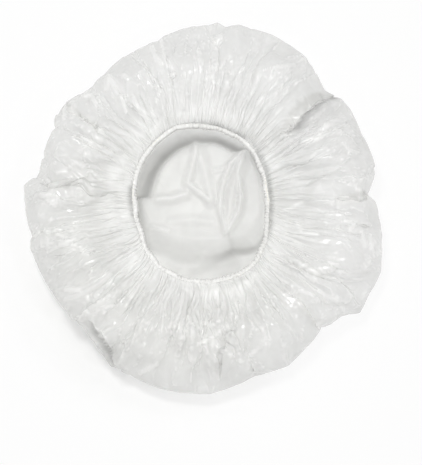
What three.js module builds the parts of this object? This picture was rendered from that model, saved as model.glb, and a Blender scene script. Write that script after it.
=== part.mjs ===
// A disposable shower cap of thin film, lying on its crown with the gathered opening upward.
// Millimetres, +Z up. The origin lies under the middle of the cap, on the surface it rests on.
import * as THREE from "three";

// Film: one sheet, drawn thicker than its real gauge so that it is a solid.
const FILM_THICKNESS = 0.5;
const CLEARANCE = 0.3;

// Rim: where the billowing film is widest.
const RIM_RADIUS = 136;
const RIM_HEIGHT = 27;
// Lobes and notches of the rim: direction in degrees from +X, and how far it stands out as a share of the depth.
const RIM_LOBE_DEPTH = 10;
const RIM_LOBES = [
  [5, -0.8], [14, 0.1], [26, -0.1], [35, 0.1], [44, -0.5], [55, 0.5], [70, 0.9],
  [86, 0.9], [105, 0], [126, -0.6], [134, -0.9], [144, -0.2], [156, -0.6], [167, -0.7],
  [173, 0.1], [188, -0.2], [196, 0], [211, -0.3], [226, -0.5], [242, 0.6], [257, 0.8],
  [272, 0.9], [287, 0.1], [299, 0.3], [313, -0.4], [326, 0.9], [340, 0.9], [352, 0.2],
];

// Crown: the flat patch that the cap lies on, reaching to this far inside the rim.
const CONTACT_INSET = 44;

// Crest: the top of the billow, this far inside the rim.
const CREST_INSET = 34;
const CREST_HEIGHT = 51;
// How many millimetres the crest rises for each millimetre that a lobe stands out.
const LOBE_LIFT = 0.5;

// Pleats of the gathered skirt, from ridge to valley, deepest between the crest and the hem.
const PLEATS = 36;
const PLEAT_DEPTH = 6;
// The share of its depth that a pleat may lose, and the turn from one pleat's loss to the next.
const PLEAT_LOSS = 0.5;
const PLEAT_WANDER = 2.4;
// Stations from the crest (0) to the hem (1), and the share of the pleats' depth at each.
const SKIRT_STATIONS = [[0, 0.5], [1 / 3, 1], [2 / 3, 0.8], [1, 0.25]];

// Opening: the inner edge of the hem, an egg shape with the same kind of list as the rim.
const OPENING_RADIUS = 54;
const OPENING_SHIFT_X = -2;
const OPENING_SHIFT_Y = -2;
const OPENING_LOBE_DEPTH = 6;
const OPENING_LOBES = [
  [0, -0.9], [30, -0.5], [60, 0.3], [100, 0.7], [130, 0.1], [155, -0.5],
  [180, -1], [205, -1], [230, -0.1], [270, 0.6], [305, 0.9], [330, 0],
];

// Hem: the film folded back over the elastic and sealed to itself.
const HEM_HEIGHT = 45;
const SEAL_WIDTH = 1;
const PUCKERS = 48;
const PUCKER_DEPTH = 0.8;

// Elastic: a flat strip whose ends lap, one over the other.
const ELASTIC_WIDTH = 3.2;
const ELASTIC_THICKNESS = 0.6;
const ELASTIC_LAP = 12;

// The channel takes the elastic twice, where its ends lap.
const ELASTIC_RISE = ELASTIC_THICKNESS + CLEARANCE;
const CHANNEL_HALF = (2 * ELASTIC_THICKNESS + 3 * CLEARANCE) / 2;
const CASING_HALF = CHANNEL_HALF + FILM_THICKNESS;
const ELASTIC_INSET = FILM_THICKNESS + CLEARANCE;
const SEAL_INSET = ELASTIC_INSET + ELASTIC_WIDTH + CLEARANCE;
const CASING_WIDTH = SEAL_INSET + SEAL_WIDTH;
const FILM_EDGE = CASING_WIDTH + CLEARANCE;

const FULL_TURN = 2 * Math.PI;

// A closed outline as a function of direction: a cosine curve between neighbouring lobes.
function lobedOutline(lobes, depth) {
  return (angle) => {
    const degrees = THREE.MathUtils.euclideanModulo(THREE.MathUtils.radToDeg(angle), 360);
    const after = lobes.findIndex(([direction]) => direction > degrees);
    const next = after < 0 ? 0 : after;
    const last = (next + lobes.length - 1) % lobes.length;
    const span = THREE.MathUtils.euclideanModulo(lobes[next][0] - lobes[last][0], 360);
    const done = THREE.MathUtils.euclideanModulo(degrees - lobes[last][0], 360) / span;
    const ease = (1 - Math.cos(Math.PI * done)) / 2;
    return depth * THREE.MathUtils.lerp(lobes[last][1], lobes[next][1], ease);
  };
}

const rimLobe = lobedOutline(RIM_LOBES, RIM_LOBE_DEPTH);
const openingLobe = lobedOutline(OPENING_LOBES, OPENING_LOBE_DEPTH);

function polar(radius, angle, height) {
  return new THREE.Vector3(radius * Math.cos(angle), radius * Math.sin(angle), height);
}

// A point of the hem: outward from the opening's edge, and up from the hem's middle.
function hemPoint(angle, outward, up) {
  const point = polar(OPENING_RADIUS + openingLobe(angle) + outward, angle, HEM_HEIGHT + up);
  point.x += OPENING_SHIFT_X;
  point.y += OPENING_SHIFT_Y;
  return point;
}

function geometryOf(points, index) {
  const geometry = new THREE.BufferGeometry().setFromPoints(points);
  geometry.setIndex(index);
  geometry.computeVertexNormals();
  return geometry;
}

function quad(a, b, c, d) {
  return [a, b, c, a, c, d];
}

// One line of the film from the crown's flat patch over the rim and the crest to the hem.
// Two such lines make a pleat: one along its ridge and one along its valley.
function filmMeridian(column, columns) {
  const angle = (column / columns) * FULL_TURN;
  const lobe = rimLobe(angle);
  const contact = RIM_RADIUS + lobe - CONTACT_INSET;
  const crest = RIM_RADIUS + lobe - CREST_INSET;
  const crestHeight = CREST_HEIGHT + LOBE_LIFT * lobe;
  const points = [polar(contact, angle, 0)];
  for (const turn of [Math.PI / 4, Math.PI / 2]) {
    const radius = contact + CONTACT_INSET * Math.sin(turn);
    points.push(polar(radius, angle, RIM_HEIGHT * (1 - Math.cos(turn))));
  }
  const shoulder = Math.PI / 4;
  points.push(
    polar(
      crest + CREST_INSET * Math.cos(shoulder),
      angle,
      THREE.MathUtils.lerp(RIM_HEIGHT, crestHeight, Math.sin(shoulder)),
    ),
  );
  const loss = (PLEAT_LOSS * (1 + Math.sin(PLEAT_WANDER * Math.floor(column / 2)))) / 2;
  const ridge = ((column % 2 ? -1 : 1) * PLEAT_DEPTH * (1 - loss)) / 2;
  const top = polar(crest, angle, crestHeight);
  const edge = hemPoint(angle, FILM_EDGE, CASING_HALF);
  for (const [along, depth] of SKIRT_STATIONS) {
    const point = top.clone().lerp(edge, along);
    point.z += ridge * depth;
    points.push(point);
  }
  return points;
}

// The film: the crown, the billow and the gathered skirt, as one shell open at the hem.
function capFilm() {
  const columns = 2 * PLEATS;
  const meridians = Array.from({ length: columns }, (_, column) => filmMeridian(column, columns));
  const rings = meridians[0].length;
  const outside = [new THREE.Vector3(0, 0, 0), ...meridians.flat()];
  const at = (column, ring) => 1 + (column % columns) * rings + ring;
  const faces = [];
  for (let column = 0; column < columns; column += 1) {
    faces.push(0, at(column + 1, 0), at(column, 0));
    for (let ring = 0; ring < rings - 1; ring += 1) {
      faces.push(
        ...quad(
          at(column, ring),
          at(column + 1, ring),
          at(column + 1, ring + 1),
          at(column, ring + 1),
        ),
      );
    }
  }
  const normals = geometryOf(outside, faces).getAttribute("normal");
  const inside = outside.map((point, i) => {
    const inward = new THREE.Vector3().fromBufferAttribute(normals, i).multiplyScalar(-FILM_THICKNESS);
    return point.clone().add(inward);
  });
  const inner = outside.length;
  const closed = [...faces];
  for (let i = 0; i < faces.length; i += 3) {
    closed.push(inner + faces[i], inner + faces[i + 2], inner + faces[i + 1]);
  }
  for (let column = 0; column < columns; column += 1) {
    const here = at(column, rings - 1);
    const next = at(column + 1, rings - 1);
    closed.push(...quad(here, next, inner + next, inner + here));
  }
  return geometryOf([...outside, ...inside], closed);
}

// A solid swept through sections of equal count, closed into a ring or capped at both ends.
function sweep(sections, isRing) {
  const count = sections[0].length;
  const spans = isRing ? sections.length : sections.length - 1;
  const faces = [];
  for (let i = 0; i < spans; i += 1) {
    const here = i * count;
    const next = ((i + 1) % sections.length) * count;
    for (let j = 0; j < count; j += 1) {
      const k = (j + 1) % count;
      faces.push(...quad(here + j, next + j, next + k, here + k));
    }
  }
  if (!isRing) {
    const last = (sections.length - 1) * count;
    for (let j = 1; j < count - 1; j += 1) {
      faces.push(0, j, j + 1);
      faces.push(last, last + j + 1, last + j);
    }
  }
  return geometryOf(sections.flat(), faces);
}

// The hem's casing: a channel of folded film, open outward, that puckers between its gathers.
function hemCasing() {
  const columns = 2 * PUCKERS;
  const sections = [];
  for (let column = 0; column < columns; column += 1) {
    const angle = (column / columns) * FULL_TURN;
    const above = column % 2 ? PUCKER_DEPTH : 0;
    const below = PUCKER_DEPTH - above;
    const fold = -above / 2;
    const section = [
      [CASING_WIDTH, CASING_HALF],
      [FILM_THICKNESS + fold, CASING_HALF + above],
      [fold, CHANNEL_HALF],
      [fold, -CHANNEL_HALF],
      [FILM_THICKNESS + fold, -CASING_HALF - below],
      [CASING_WIDTH, -CASING_HALF],
      [CASING_WIDTH, -CHANNEL_HALF],
      [FILM_THICKNESS + fold, -CHANNEL_HALF - below],
      [FILM_THICKNESS + fold, CHANNEL_HALF + above],
      [CASING_WIDTH, CHANNEL_HALF],
    ];
    sections.push(section.map(([outward, up]) => hemPoint(angle, outward, up)));
  }
  return sweep(sections, true);
}

// A strip's four corners at one direction, from its inner edge and its underside.
function stripSection(angle, outward, up, width, height) {
  return [
    hemPoint(angle, outward + width, up + height),
    hemPoint(angle, outward, up + height),
    hemPoint(angle, outward, up),
    hemPoint(angle, outward + width, up),
  ];
}

// The seal: the melted line that joins the casing's two plies outside the elastic.
function hemSeal() {
  const columns = 2 * PUCKERS;
  const height = 2 * (CHANNEL_HALF - CLEARANCE);
  const sections = [];
  for (let column = 0; column < columns; column += 1) {
    const angle = (column / columns) * FULL_TURN;
    sections.push(stripSection(angle, SEAL_INSET, -height / 2, SEAL_WIDTH, height));
  }
  return sweep(sections, true);
}

// The elastic: a strip that climbs by its own thickness in one turn, so that its ends lap.
function elasticBand() {
  const lapAngle = ELASTIC_LAP / (OPENING_RADIUS + ELASTIC_INSET);
  const steps = 2 * PUCKERS;
  const start = -CHANNEL_HALF + CLEARANCE;
  const sections = [];
  for (let step = 0; step <= steps; step += 1) {
    const angle = (step / steps) * (FULL_TURN + lapAngle);
    const climb = ELASTIC_RISE * Math.min(1, angle / FULL_TURN);
    sections.push(
      stripSection(angle, ELASTIC_INSET, start + climb, ELASTIC_WIDTH, ELASTIC_THICKNESS),
    );
  }
  return sweep(sections, false);
}

const filmMaterial = new THREE.MeshStandardMaterial({ color: 0xf0efec, roughness: 0.25, metalness: 0 });
const casingMaterial = new THREE.MeshStandardMaterial({ color: 0xefeeea, roughness: 0.35, metalness: 0 });
const sealMaterial = new THREE.MeshStandardMaterial({ color: 0xe6e4de, roughness: 0.4, metalness: 0 });
const elasticMaterial = new THREE.MeshStandardMaterial({ color: 0xf3f0e8, roughness: 0.8, metalness: 0 });

const cap = new THREE.Group();
for (const [name, geometry, material] of [
  ["cap_film", capFilm(), filmMaterial],
  ["hem_casing", hemCasing(), casingMaterial],
  ["hem_seal", hemSeal(), sealMaterial],
  ["elastic_band", elasticBand(), elasticMaterial],
]) {
  const mesh = new THREE.Mesh(geometry, material);
  mesh.name = name;
  cap.add(mesh);
}

// The lobes reach out unevenly, so the whole cap is moved until its box is centred on the origin.
const middle = new THREE.Box3().setFromObject(cap).getCenter(new THREE.Vector3());
cap.children.forEach((mesh) => mesh.position.set(-middle.x, -middle.y, 0));

export default cap;
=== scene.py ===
"""A disposable shower cap lying crown down: a gathered disc of film, its folded hem and the elastic in it."""
import math

import bpy
import numpy as np
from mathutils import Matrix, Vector
from mathutils.bvhtree import BVHTree
from mathutils.geometry import delaunay_2d_cdt


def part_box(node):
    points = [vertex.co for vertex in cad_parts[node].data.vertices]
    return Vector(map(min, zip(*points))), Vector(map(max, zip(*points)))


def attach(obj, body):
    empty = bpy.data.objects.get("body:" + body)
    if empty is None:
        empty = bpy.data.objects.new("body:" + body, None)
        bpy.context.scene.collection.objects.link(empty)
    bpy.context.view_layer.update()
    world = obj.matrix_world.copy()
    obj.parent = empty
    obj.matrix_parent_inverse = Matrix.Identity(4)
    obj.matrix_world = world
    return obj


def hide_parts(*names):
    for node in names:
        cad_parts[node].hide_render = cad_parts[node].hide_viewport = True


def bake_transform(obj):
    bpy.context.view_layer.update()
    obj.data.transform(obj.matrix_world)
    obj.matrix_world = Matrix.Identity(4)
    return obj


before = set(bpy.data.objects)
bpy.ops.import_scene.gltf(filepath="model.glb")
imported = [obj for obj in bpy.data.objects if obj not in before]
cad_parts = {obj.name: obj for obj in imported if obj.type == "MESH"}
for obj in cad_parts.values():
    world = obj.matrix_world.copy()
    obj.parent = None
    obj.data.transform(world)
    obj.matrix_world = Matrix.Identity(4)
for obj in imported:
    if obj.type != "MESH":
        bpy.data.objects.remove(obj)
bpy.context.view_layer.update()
CASING_LOW, CASING_HIGH = (np.array(corner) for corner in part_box("hem_casing"))
SEAL_LOW, SEAL_HIGH = (np.array(corner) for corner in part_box("hem_seal"))

# The photograph's frame, in pixels, and its scale on the plane of the cap's rim, in metres.
IMAGE_WIDTH, IMAGE_HEIGHT = 422, 465
PIXEL = 0.280 / 365
CAP_MIDDLE_PX = (203, 204.5)
CAMERA_ELEVATION = math.radians(81)
CAMERA_DISTANCE = 1.1
SENSOR_WIDTH = 36

# The film's rim and the edge of the opening, followed round in the photograph's pixels.
RIM_PX = [
    (382, 232), (376, 202), (368.5, 193), (375, 177), (375, 162), (361, 132), (351, 110), (342, 99),
    (325, 91), (313.5, 68), (306, 57), (273, 35), (250, 28), (239, 24.5), (227, 26), (217, 22.5),
    (211, 24.5), (184, 28), (163.5, 36), (157.5, 40), (138, 49), (123, 57), (104, 73), (89, 89),
    (74, 97), (67, 101), (55, 116), (53, 128), (39, 173), (24, 185), (25, 208), (30, 232),
    (30.5, 250), (37, 265), (55, 297), (68, 314), (71, 320), (82, 326), (95, 345), (111, 366.5),
    (131, 376), (160.5, 389), (178, 392.5), (211, 394), (238, 385), (256, 376), (288, 366),
    (303, 352), (321, 330), (342, 317), (360, 313), (368.5, 296), (381, 272), (382, 262),
]
OPENING_PX = [
    (264, 215), (263, 190), (258, 168), (245, 147), (222, 133), (200, 128.6), (176, 131), (155, 147),
    (141, 170), (136.6, 194.6), (138, 210), (143, 230), (150, 250), (160, 263), (180, 275),
    (206, 279), (238, 272), (255, 258), (262, 240),
]

# Tucks, where the film laps over itself: two ends of the lap's edge in pixels, with the lap on the left of
# the way from the first to the second, then the lap's reach and the tuck's depth and half width in metres,
# its painted shade, from 0 to 1, and how far in metres its edge bows out to the lap's side.
TUCKS = [
    ((284, 138), (328, 89), 0.006, 0.020, 0.0034, 0.90, 0.006),
    ((332, 198), (372, 192), 0.003, 0.010, 0.0035, 0.0, 0.0),
    ((84, 319), (119, 361), 0.002, 0.012, 0.0030, 0.75, 0.003),
    ((62, 98), (94, 126), 0.002, 0.007, 0.0030, 0.0, 0.0),
    ((44, 186), (82, 181), 0.001, 0.004, 0.0060, 0.12, 0.0),
    ((324, 334), (296, 300), 0.001, 0.008, 0.0030, 0.0, 0.0),
    ((241, 324), (221, 370), 0.001, 0.006, 0.0022, 0.3, -0.004),
]
# Shares of a tuck's length in which it fades, half widths in which its pull dies away, the lap's rise as a
# share of the depth, and the width of the painted shade and of its edge.
TUCK_FADE_IN = 0.30
TUCK_FADE_OUT = 0.25
TUCK_SPREAD = 2
LAP_RISE = 0.12
TUCK_SHADE_WIDTH = 0.009
TUCK_SHADE_EDGE = 0.001

# The part of the crown that stands up in the opening, followed round in pixels, with its height, the width of
# its edge and how much wider that edge is on the side near the camera.
PLATEAU_PX = [
    (138, 197), (152, 196), (156, 179), (166, 160), (180, 149), (196, 143), (214, 142), (232, 151),
    (246, 151), (257, 170), (263, 200), (262, 228), (254, 242), (230, 244), (203, 250), (172, 245),
    (152, 240), (141, 216),
]
PLATEAU_HEIGHT = 0.014
PLATEAU_EDGE = 0.006
PLATEAU_NEAR_EDGE = 2.5
# The painted shade in the gap round it: how far out it grows paler, and the share lost there and at the near
# left.
GAP_PALER = (0.002, 0.014)
GAP_LOSS = 0.8

# Ridges that stand up in the crown: the way of each in pixels, its height and half width in metres and the
# strength of its painted highlight, which lies on a line of the half width that follows.
RIDGES = [
    ([(196, 140), (196, 155), (188, 184)], 0.007, 0.006, 0.7),
    ([(196, 140), (204, 168), (211, 201)], 0.005, 0.008, 0.4),
    ([(188, 184), (209, 201)], 0.006, 0.005, 1.0),
    ([(158, 200), (172, 199), (186, 195)], 0.004, 0.006, 0.9),
    ([(245, 150), (230, 166), (222, 187), (220, 208), (226, 235)], 0.008, 0.005, 0.9),
    ([(245, 150), (238, 173), (241, 198), (238, 213), (226, 235)], 0.008, 0.005, 0.9),
    ([(241, 163), (231, 195), (227, 226)], 0.0075, 0.008, 0.0),
    ([(215, 172), (228, 168)], 0.003, 0.004, 0.3),
    ([(160, 238), (205, 243), (252, 236)], 0.002, 0.010, 0.0),
    ([(152, 228), (168, 231)], 0.002, 0.006, 0.8),
    ([(170, 222), (190, 220), (212, 222)], 0.002, 0.006, 0.2),
]
RIDGE_HIGHLIGHT_HALF_WIDTH = 0.0022
# Where the crown's forms fade out on the cut disc, and where the opening ends, by distance from its edge.
CROWN_FADE = (0.081, 0.129)
OPENING_FADE = (0.004, 0.010)

# Sharp folds of the skirt, painted with a highlight: the way of each in pixels, its half width in metres and
# the strength of the painted highlight.
SHINING_FOLDS = [
    ([(287, 137), (320, 113)], 0.0022, 1.0),
    ([(303, 142), (316, 138), (326, 126)], 0.0040, 1.0),
    ([(322, 136), (335, 128)], 0.0018, 0.8),
    ([(276, 67), (294, 65)], 0.0022, 0.8),
    ([(343, 143), (350, 150), (358, 153)], 0.0018, 1.0),
    ([(248, 127), (256, 113), (264, 102), (283, 88)], 0.0020, 0.6),
    ([(250, 52), (268, 40)], 0.0030, 0.3),
    ([(281, 212), (292, 208), (301, 203)], 0.0020, 0.8),
    ([(297, 222), (302, 234), (318, 234)], 0.0020, 1.0),
    ([(345, 221), (355, 222), (350, 231)], 0.0022, 0.8),
    ([(362, 232), (366, 246)], 0.0022, 0.9),
    ([(370, 235), (373, 252)], 0.0018, 0.9),
    ([(320, 268), (328, 277), (340, 281), (361, 279)], 0.0018, 0.8),
    ([(339, 272), (378, 270)], 0.0018, 0.7),
    ([(300, 275), (315, 288), (340, 304), (348, 317)], 0.0020, 0.9),
    ([(285, 295), (300, 291), (313, 295)], 0.0020, 0.8),
    ([(250, 355), (261, 346), (266, 338)], 0.0020, 0.8),
    ([(284, 345), (286, 359), (290, 366)], 0.0022, 0.7),
    ([(198, 344), (212, 338), (220, 331)], 0.0018, 0.9),
    ([(203, 322), (211, 326), (219, 321)], 0.0018, 0.8),
    ([(183, 295), (180, 312), (170, 327)], 0.0024, 0.7),
    ([(140, 373), (157, 364)], 0.0022, 1.0),
    ([(130, 296), (139, 285)], 0.0030, 0.6),
    ([(129, 269), (137, 263)], 0.0026, 0.8),
    ([(66, 299), (85, 293), (100, 284), (110, 275)], 0.0024, 0.7),
    ([(66, 289), (79, 290)], 0.0028, 1.0),
    ([(97, 309), (115, 305)], 0.0020, 0.6),
    ([(48, 252), (60, 246), (75, 245)], 0.0018, 0.9),
    ([(48, 232), (48, 249)], 0.0022, 0.6),
    ([(58, 234), (67, 238)], 0.0022, 0.9),
    ([(88, 236), (105, 233), (125, 226)], 0.0018, 0.5),
    ([(41, 194), (58, 196), (55, 206), (41, 194)], 0.0018, 0.9),
    ([(57, 172), (66, 170), (75, 163)], 0.0022, 0.8),
    ([(95, 176), (105, 181), (113, 182)], 0.0018, 0.9),
    ([(64, 103), (64, 119)], 0.0018, 0.8),
    ([(73, 103), (72, 117)], 0.0028, 0.8),
    ([(83, 96), (91, 95), (97, 106)], 0.0020, 1.0),
    ([(106, 88), (109, 76), (118, 92)], 0.0030, 0.8),
    ([(121, 96), (126, 112)], 0.0018, 0.9),
    ([(133, 96), (138, 107), (145, 113), (157, 116)], 0.0020, 0.9),
    ([(152, 47), (156, 57), (162, 64)], 0.0024, 1.0),
    ([(161, 40), (164, 55), (168, 67)], 0.0018, 0.9),
    ([(215, 68), (211, 79), (217, 84)], 0.0020, 0.6),
]
# Their height as a share of the half width, and how flat the painted highlight is on top.
FOLD_SLOPE = 0.30
FOLD_HIGHLIGHT_TOP = 1.7

# The cut disc, by distance from its middle in metres, before its edge is folded into the hem.
HEM_CUT = 0.2444
CONTACT_CUT = 0.092
RIM_CUT = 0.148
CREST_CUT = 0.198
# Points beyond this are on the hem's line, and the skirt's own forms begin within this length of the rim.
ON_HEM = HEM_CUT - 0.0005
RIM_BLEND = 0.004
# How far apart its rings of points are, and the points on a ring, by distance from the middle.
RINGS_AT = [0, 0.066, 0.076, 0.118, 0.128, 0.172, 0.205, HEM_CUT]
RING_STEP = [0.0024, 0.0024, 0.0048, 0.0048, 0.0034, 0.0030, 0.0030, 0.0030]
POINT_STEP = [0.0025, 0.0025, 0.0050, 0.0050, 0.0036, 0.0031, 0.0021, 0.0016]
LEAST_RING_STEP = 0.001

# The profile that the film starts from.
RIM_RADIUS = 0.136
RIM_Z = 0.027
CREST_Z = 0.060
RIM_POINT = 0.35
CONTACT_INSET = 0.044
CREST_INSET = 0.034
HEM_Z = float(CASING_LOW[2] + CASING_HIGH[2]) / 2
FILM_EDGE = 0.0034
FILM_LIFT = 0.0010
TABLE_GAP = 0.0006
LOBES_FROM = 0.057
SKIRT_BEND = 1.6

# Girth that the film has to spare over the gathered form, as a share, by distance on the cut disc.
SPARE_AT = [0, 0.086, RIM_CUT, 0.181, 0.224, HEM_CUT]
SPARE = [0.015, 0.03, 0.06, 0.32, 0.9, 1.3]
LENGTH_SPARE = 1.05

# Valleys between the billows: where each meets the rim, in pixels, and its depth in metres.
VALLEYS = [
    ((368.5, 193), 0.009), ((351, 110), 0.003), ((325, 91), 0.014), ((273, 35), 0.004), ((214, 24), 0.006),
    ((160, 38), 0.006), ((104, 73), 0.004), ((67, 101), 0.008), ((53, 128), 0.004), ((36, 176), 0.010),
    ((30, 240), 0.005), ((55, 297), 0.004), ((76, 323), 0.010), ((111, 366), 0.009), ((160, 389), 0.004),
    ((205, 394), 0.004), ((256, 376), 0.007), ((303, 352), 0.007), ((321, 330), 0.009), ((367, 299), 0.006),
]
VALLEY_WIDTH = 0.007
# Billows from valley to valley: height as a share of their width, how blunt they are, the share that lies
# below the profile, and how they fade in from the rim and out towards the gathers.
BILLOW_HEIGHT = 0.16
BILLOW_BLUNTNESS = 0.7
BILLOW_BELOW = 0.6
BILLOW_RISE = 0.02
BILLOW_FADE_FROM = 0.181
BILLOW_FADE = 0.048

# Folds round the cap: how many, where they fade in and where they fade out, by distance on the cut disc.
GATHERS = 160
FOLD_LEVELS = [
    (58, 0.162, 0.195, 0.205, 0.233),
    (GATHERS, 0.202, 0.229, 0.300, 0.400),
]
# How they wander in reach, in phase, in phase over a length of film, and in height; the form of one.
FOLD_REACH = 0.012
FOLD_REACH_TURNS = 40
FOLD_SWAY = 1.2
FOLD_DRIFT = 0.9
DRIFT_LENGTH = 0.1
FOLD_UNEVENNESS = 0.35
FOLD_HEIGHTS = (0.3, 1.6)
FOLD_PEAK = 1.6
FOLD_SHARPNESS = 0.8
FOLD_BELOW = 0.7
FOLDS_EASED = 0.25
EASED_FROM_HEM = 0.009
EASED_OVER = 0.008

# Thin, limp film as a cloth: its settings, the steps of time, and the strip at the rim that is held.
CLOTH = {
    "quality": 6, "mass": 0.02, "tension_stiffness": 60, "compression_stiffness": 20, "shear_stiffness": 30,
    "bending_model": "ANGULAR", "bending_stiffness": 0.001, "tension_damping": 20,
    "compression_damping": 20, "shear_damping": 20, "bending_damping": 0.2, "air_damping": 4,
    "vertex_group_mass": "held", "pin_stiffness": 5,
}
FRAMES = 36
RIM_STRIP = 0.0042
RIM_HOLD = 0.8
# The relaxed film: how much of the crown touches the table and where that ends, how its facets are sharpened,
# where its furrows are opened, and the steps and the strip in which its edge is fitted to the rim.
TOUCHING_PERCENT = 20
SETTLED_FADE = 0.034
CRISP_ROUNDS = 6
CRISP_LIKENESS = 0.35
CRISP_TO_HEM = 0.004
FURROWS_FROM = RIM_CUT + 0.006
FURROW_FADE = 0.010
HEM_FURROWS_FROM = HEM_CUT - 0.018
RIM_STEPS = 240
RIM_MOVED = (0.88, 0.98)

# Creases drawn at random: on the crown, short ones on the skirt, long ones from the hem, and places where the
# film lies over itself in a step.
CROWN_CREASES = 34
PINCHES = 260
RAYS = 150
RAY_FADE = 0.015
PLIES = 70
PLY_END = 0.006
STEP_WIDTH = 0.0015
# Crumpling: the spacing and height of its corners, where it fades in and out, and its share on the crown.
CRUMPLES = [(0.022, 0.0030), (0.011, 0.0010)]
CRUMPLE_IN = (RIM_CUT + 0.006, RIM_CUT + 0.026)
CRUMPLE_OUT = (0.200, 0.235)
CROWN_CRUMPLE = 0.15

# Bend at which a ridge or a furrow begins to take painted light and takes it in full (a painted highlight on
# ridges, painted light against the shade in furrows), then the painted light that lightens the shaded furrows
# by the hem, how milky film is where light is painted, and where on the cut disc the film is gathered into
# layers.
RIDGE_BEND = (0.08, 0.30)
FURROW_BEND = (0.05, 0.25)
FURROW_SHARE = 0.4
BEND_FADE = 0.006
BEND_PAINTED_LIGHT = 0.75
HEM_PAINTED_LIGHT = 0.5
HEM_LIGHT_SPAN = (HEM_CUT - 0.006, HEM_CUT - 0.002)
PAINTED_LIGHT_MILKY = 0.6
GATHERED_FROM = 0.205
GATHERED_FULL = HEM_CUT - 0.006
# Painted shade, from 0 to 1: of the gap, of the crown, of its side near the camera and of the gathers.
GAP_SHADE = 0.62
CROWN_SHADE = 0.22
NEAR_SHADE = 0.10
NEAR_LENGTH = 0.04
GATHER_SHADE = 0.05
GATHER_SHADE_LENGTH = 0.015
# What is added to the roughness: in the painted shade, on the crown and on the gathers.
SHADE_DULL = 0.8
CROWN_DULL = 0.34
CROWN_DULL_TO_RIM = 0.01
GATHER_DULL = 0.35
GATHER_DULL_AT = (0.195, 0.225)

# The hem: how its film laps the casing at its inner end, then the casing, the seal and the elastic.
OVER_CASING = (HEM_CUT - 0.012, HEM_CUT - 0.001)
CASING_LAP = 0.0024
EDGE_LAP = 0.0014
CASING_WIDTH = 0.0044
CASING_HALF_HEIGHT = 0.0014
CASING_SQUARENESS = 0.8
PUCKERS = 118
BEAD_DEPTH = 0.0014
BEAD_MIDDLE = 0.4
BEAD_ROUNDNESS = 0.6
BEAD_WANDER = 0.9
BEAD_SHARE = 0.7
BEAD_SWING = 0.3
BEAD_DEEP_AT = 0.3
BEAD_UNEVENNESS = 0.35
LEAST_BEAD = 0.3
GROOVE_DEPTH = 0.0003
GROOVE_WIDTH = 0.22
CASING_SWAY = 0.0005
CASING_WANDER = 0.0003
SEAL_INSET = 0.0008
SEAL_HALF_WIDTH = 0.0004
SEAL_CRIMPS = 360
ELASTIC_INSET = 0.0026
ELASTIC_HALF_WIDTH = 0.00055
ELASTIC_HALF_HEIGHT = 0.0010
ELASTIC_RIBS = 12
RIB_DEPTH = 0.12

TURN = 2 * np.pi
SEED = 7
rng = np.random.default_rng(SEED)


def smooth(t):
    t = np.clip(t, 0, 1)
    return t * t * (3 - 2 * t)


def ramp(value, start, end):
    """From 0 at start to 1 at end."""
    return smooth((value - start) / (end - start))


def ease_in(t):
    """From 0 to 1, steep at first; the rim's two plies meet at an angle."""
    return RIM_POINT * t + (1 - RIM_POINT) * np.sin(t * np.pi / 2)


def ease_out(t):
    """From 0 to 1, slow at first."""
    return RIM_POINT * t + (1 - RIM_POINT) * (1 - np.cos(t * np.pi / 2))


BACK = np.array([0, -math.cos(CAMERA_ELEVATION), math.sin(CAMERA_ELEVATION)])
UP = np.array([0, math.sin(CAMERA_ELEVATION), math.cos(CAMERA_ELEVATION)])


def on_image(pixel):
    """The pixel's place on the image plane through the middle of the cap's rim."""
    right = (pixel[0] - CAP_MIDDLE_PX[0]) * PIXEL
    return np.array([right, 0, RIM_Z]) + UP * (CAP_MIDDLE_PX[1] - pixel[1]) * PIXEL


EYE = on_image((IMAGE_WIDTH / 2, IMAGE_HEIGHT / 2)) + BACK * CAMERA_DISTANCE


def photo_point(pixel, height):
    """Where the point of the photograph lies on the level plane at that height."""
    way = on_image(pixel) - EYE
    return (EYE + way * (height - EYE[2]) / way[2])[:2]


def polar(places):
    """Distance of each place from the middle, and its angle, from 0 to a full turn."""
    return np.hypot(*places.T), np.mod(np.arctan2(places[:, 1], places[:, 0]), TURN)


def closed_outline(pixels, height, middle):
    """Radius by angle of the outline through those pixels, about that middle."""
    radius, angle = polar(np.array([photo_point(p, height) for p in pixels]) - middle)
    order = np.argsort(angle)
    angle, radius = angle[order], radius[order]
    angle = np.concatenate([angle[-1:] - TURN, angle, angle[:1] + TURN])
    radius = np.concatenate([radius[-1:], radius, radius[:1]])
    return lambda a: np.interp(np.mod(a, TURN), angle, radius)


def wander(count, size):
    """A smooth random closed curve of the angle."""
    turns = np.arange(1, count + 1)
    a, b = rng.normal(size=(2, count)) * size / math.sqrt(count)

    def value(angle):
        grid = np.outer(np.ravel(angle), turns)
        return (np.cos(grid) @ a + np.sin(grid) @ b).reshape(np.shape(angle))

    return value


def full_turn(count):
    """That many angles, evenly round."""
    return np.arange(count) * TURN / count


def heading(turn):
    return np.array([math.cos(turn), math.sin(turn)])


HEM_MIDDLE = (CASING_LOW[:2] + CASING_HIGH[:2]) / 2
rim_outline = closed_outline(RIM_PX, RIM_Z, np.zeros(2))
opening_outline = closed_outline(OPENING_PX, HEM_Z, HEM_MIDDLE)


def new_object(name, points, faces):
    mesh = bpy.data.meshes.new(name)
    mesh.from_pydata(np.asarray(points).tolist(), [], faces)
    mesh.shade_smooth()
    obj = bpy.data.objects.new(name, mesh)
    bpy.context.scene.collection.objects.link(obj)
    return obj


def new_square(name, half):
    corners = [(-half, -half, 0), (half, -half, 0), (half, half, 0), (-half, half, 0)]
    return new_object(name, corners, [(0, 1, 2, 3)])


# The film's form

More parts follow.
